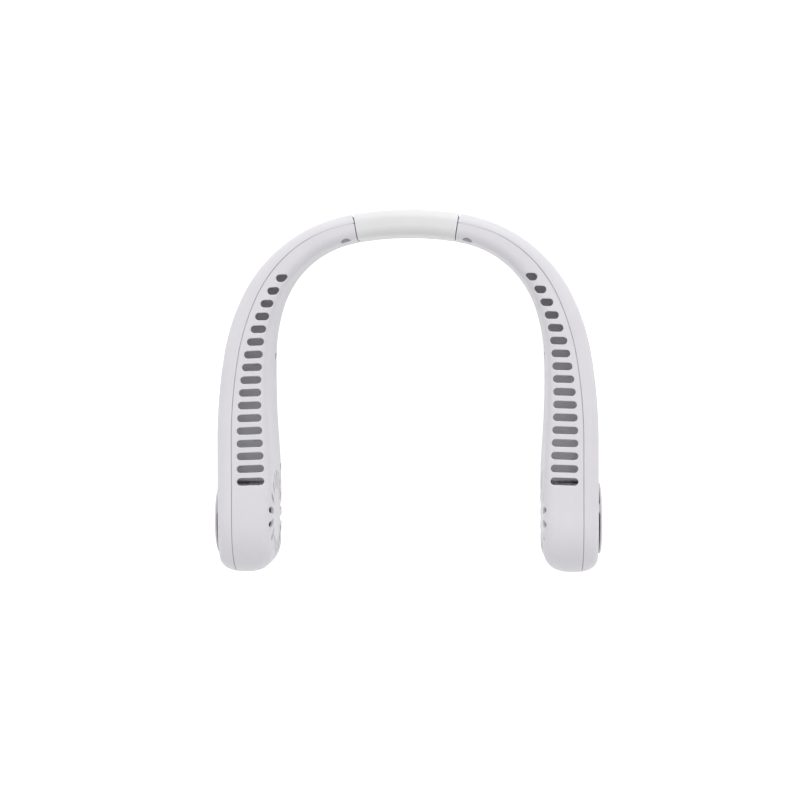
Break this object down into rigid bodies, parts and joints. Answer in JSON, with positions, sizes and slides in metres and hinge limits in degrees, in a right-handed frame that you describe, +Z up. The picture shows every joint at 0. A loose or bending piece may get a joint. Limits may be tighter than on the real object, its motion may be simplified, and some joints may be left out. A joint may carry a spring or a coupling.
{
  "type": "electric neck fan",
  "caption": "U-shaped bladeless neck fan: two hollow arms with vent slots and a turbine in each tip, hinged on a neck band.",
  "frame": {"origin": "centre of the box's underside: midway between the two arms and between the band and the tips, on the surface that the fan lies on", "axes": "+X to the right arm, +Y to the neck band, +Z up to the vented face"},
  "size_m": [0.2004, 0.1878, 0.051],
  "materials": {
    "band_plastic": "fine satin",
    "shell_plastic": "fine satin",
    "cover_plastic": "fine satin",
    "core_plastic": "moulded",
    "cable_jacket": "smooth",
    "pin_steel": "ground",
    "washer_brass": "stamped",
    "guide_plastic": "moulded",
    "impeller_plastic": "moulded",
    "rotor_steel": "drawn",
    "magnet": "ground ferrite",
    "core_steel": "stacked sheet",
    "copper_wire": "enamelled copper winding",
    "tube_brass": "turned",
    "bearing_steel": "ground",
    "circuit_board": "solder mask",
    "screw_steel": "plated",
    "cell_wrap": "shrink wrap",
    "nickel": "rolled strip",
    "plug_rubber": "matte",
    "port_steel": "drawn",
    "switch_plastic": "moulded",
    "button_plastic": "fine satin",
    "light_pipe": "frosted clear"
  },
  "bodies": {
    "neck_band": {"band_sleeve": "band_plastic", "band_core": "core_plastic", "band_cable": "cable_jacket", "left_hinge_pin": "pin_steel", "right_hinge_pin": "pin_steel", "hinge_washers": "washer_brass"},
    "left_arm": {"left_outer_shell": "shell_plastic", "left_vent_shell": "shell_plastic", "left_intake_cover": "cover_plastic", "left_air_guide": "guide_plastic", "left_stator_core": "core_steel", "left_stator_coils": "copper_wire", "left_bearing_tube": "tube_brass", "left_bearings": "bearing_steel", "left_motor_board": "circuit_board", "left_motor_screws": "screw_steel", "left_battery_cell": "cell_wrap", "left_battery_tabs": "nickel", "left_shell_screws": "screw_steel", "left_hinge_bracket": "core_plastic", "left_bracket_screw": "screw_steel", "left_screw_plugs": "plug_rubber"},
    "right_arm": {"right_outer_shell": "shell_plastic", "right_vent_shell": "shell_plastic", "right_intake_cover": "cover_plastic", "right_air_guide": "guide_plastic", "right_stator_core": "core_steel", "right_stator_coils": "copper_wire", "right_bearing_tube": "tube_brass", "right_bearings": "bearing_steel", "right_motor_board": "circuit_board", "right_motor_screws": "screw_steel", "right_battery_cell": "cell_wrap", "right_battery_tabs": "nickel", "right_shell_screws": "screw_steel", "right_hinge_bracket": "core_plastic", "right_bracket_screw": "screw_steel", "right_screw_plugs": "plug_rubber", "control_board": "circuit_board", "board_screws": "screw_steel", "usb_port": "port_steel", "power_switch": "switch_plastic", "light_pipes": "light_pipe"},
    "left_impeller_body": {"left_impeller": "impeller_plastic", "left_rotor_cup": "rotor_steel", "left_rotor_magnet": "magnet", "left_motor_shaft": "pin_steel"},
    "right_impeller_body": {"right_impeller": "impeller_plastic", "right_rotor_cup": "rotor_steel", "right_rotor_magnet": "magnet", "right_motor_shaft": "pin_steel"},
    "button_body": {"power_button": "button_plastic"}
  },
  "joints": [
    {"name": "left_hinge", "type": "hinge", "parent": "neck_band", "child": "left_arm", "pos_m": [-0.0265, 0.0878, 0.0375], "axis": [0, 0, -1], "range_deg": [0, 12]},
    {"name": "right_hinge", "type": "hinge", "parent": "neck_band", "child": "right_arm", "pos_m": [0.0265, 0.0878, 0.0375], "axis": [0, 0, 1], "range_deg": [0, 12]},
    {"name": "left_impeller_spin", "type": "hinge", "parent": "left_arm", "child": "left_impeller_body", "pos_m": [-0.083, -0.06575, 0.0255], "axis": [-1, 0, 0], "continuous": true},
    {"name": "right_impeller_spin", "type": "hinge", "parent": "right_arm", "child": "right_impeller_body", "pos_m": [0.083, -0.06575, 0.0255], "axis": [1, 0, 0], "continuous": true},
    {"name": "power_button_press", "type": "slide", "parent": "right_arm", "child": "button_body", "axis": [-1, 0, 0], "range_m": [0, 0.0004], "stiffness_N_per_m": 2500}
  ]
}
